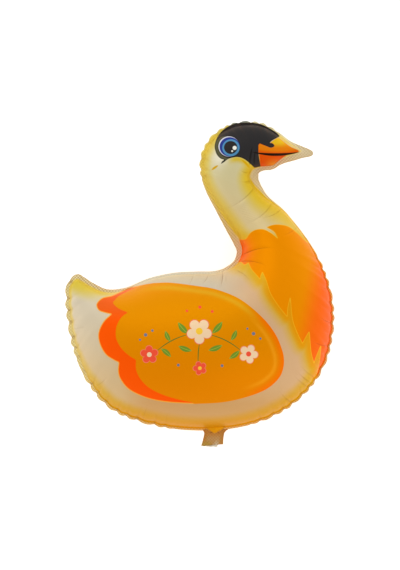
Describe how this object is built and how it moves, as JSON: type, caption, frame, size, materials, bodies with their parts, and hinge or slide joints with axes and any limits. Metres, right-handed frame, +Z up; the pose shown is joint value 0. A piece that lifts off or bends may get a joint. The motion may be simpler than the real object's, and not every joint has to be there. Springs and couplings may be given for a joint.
{
  "type": "foil balloon",
  "caption": "Inflated foil balloon in the shape of a swan seen from the side, with a flat welded rim and a filling tail under the belly, lying on its back.",
  "frame": {"origin": "under the middle of the balloon, on the ground that its back film rests on", "axes": "+X from the swan's tail to its bill, +Y from the belly to the crown, +Z up, out of the printed front film"},
  "size_m": [0.6466, 0.7824, 0.2861],
  "materials": {
    "printed_foil": "satin metallised film, printed",
    "valve_film": "milky clear film"
  },
  "bodies": {
    "root": {"foil_envelope": "printed_foil", "valve_film": "valve_film"}
  },
  "joints": []
}
